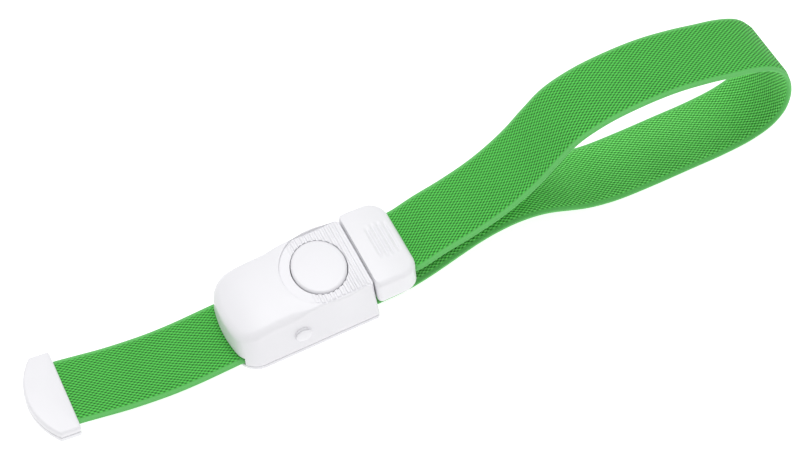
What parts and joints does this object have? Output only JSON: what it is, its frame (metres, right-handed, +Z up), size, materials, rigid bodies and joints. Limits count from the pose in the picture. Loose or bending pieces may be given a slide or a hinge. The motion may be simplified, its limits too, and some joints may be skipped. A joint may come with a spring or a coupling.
{
  "type": "quick-release tourniquet",
  "caption": "Elastic webbing arm band with a push-button quick-release buckle, a side clip and an end tab.",
  "frame": {"origin": "centre of the housing's flat underside, which rests on a table", "axes": "+X from the buckle towards the arm loop, +Y across the webbing, +Z up through the release button"},
  "size_m": [0.2635, 0.033, 0.0459],
  "materials": {
    "white_plastic": "satin moulded",
    "inner_plastic": "moulded",
    "spring_steel": "drawn",
    "green_webbing": "woven elastic"
  },
  "bodies": {
    "buckle": {"housing_cover": "white_plastic", "housing_base": "white_plastic", "inner_frame": "inner_plastic", "latch_leaf": "spring_steel", "button_spring": "spring_steel", "clamp_spring": "spring_steel", "clamp_axle": "white_plastic", "axle_cap": "white_plastic", "strap_loop": "green_webbing"},
    "button": {"release_button": "white_plastic"},
    "clamp": {"clamp_lever": "inner_plastic"},
    "clip": {"clip_cover": "white_plastic", "clip_base": "white_plastic", "anchor_bar": "spring_steel"},
    "strap_end": {"strap_tail": "green_webbing", "end_tab_top": "white_plastic", "end_tab_bottom": "white_plastic"}
  },
  "joints": [
    {"name": "button_press", "type": "slide", "parent": "buckle", "child": "button", "axis": [0, 0, -1], "range_m": [0, 0.002], "stiffness_N_per_m": 1200, "springref_m": -0.0015, "deforming": ["button_spring"]},
    {"name": "clamp_release", "type": "hinge", "parent": "buckle", "child": "clamp", "pos_m": [-0.003, 0, 0.0079], "axis": [0, 1, 0], "range_deg": [0, 12.75], "deforming": ["clamp_spring"]},
    {"name": "clip_slide", "type": "slide", "parent": "buckle", "child": "clip", "axis": [1, 0, 0], "range_m": [0, 0.022], "deforming": ["latch_leaf", "strap_loop"]},
    {"name": "tail_slide", "type": "slide", "parent": "buckle", "child": "strap_end", "axis": [-1, 0, 0], "range_m": [0, 0.03]}
  ],
  "couplings": [
    {"joint": "clamp_release", "follows": "button_press", "rad_per_m": 111.11}
  ]
}
